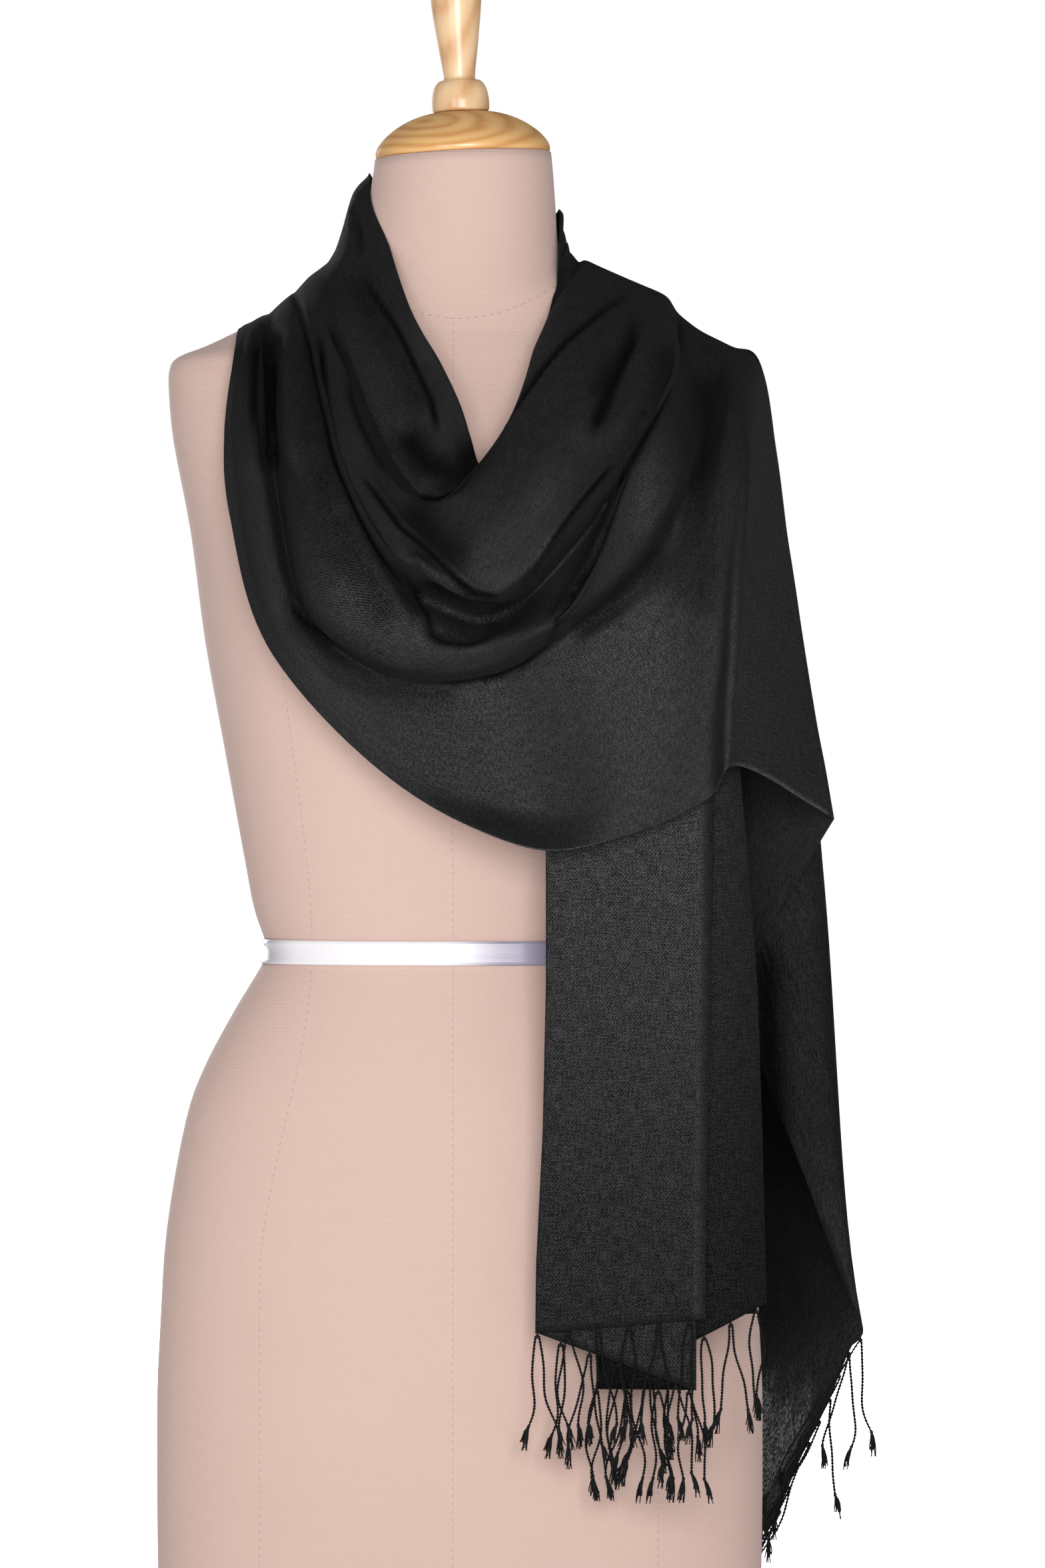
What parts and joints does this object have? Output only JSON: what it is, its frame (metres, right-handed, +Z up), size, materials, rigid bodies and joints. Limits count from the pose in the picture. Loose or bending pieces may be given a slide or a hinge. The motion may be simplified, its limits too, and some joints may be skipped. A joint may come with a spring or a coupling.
{
  "type": "draped silk shawl on a dress form",
  "caption": "Long silk shawl with knotted fringes, wound round the neck and over one shoulder of a limbless dress form with a turned wooden neck cap, a waist tape and a flat base.",
  "frame": {"origin": "centre of the flat underside of the base board, on which the form stands", "axes": "+Z up, -Y towards the front of the form, +X towards the form's left side, which is on the right of someone who looks at its front"},
  "size_m": [0.4473, 0.3591, 1.1286],
  "materials": {
    "silk": "black silk twill with a soft sheen",
    "jersey": "matt pinkish beige ribbed jersey cover",
    "satin": "white satin tape",
    "pine": "varnished honey-coloured pine",
    "board": "plain sanded board"
  },
  "bodies": {
    "root": {"torso": "jersey", "waist_tape": "satin", "neck_cap": "pine", "finial": "pine", "base_board": "board", "front_fall": "silk", "nape_wrap": "silk", "cowl": "silk", "back_tail": "silk", "front_fringe": "silk", "tail_fringe": "silk"}
  },
  "joints": []
}
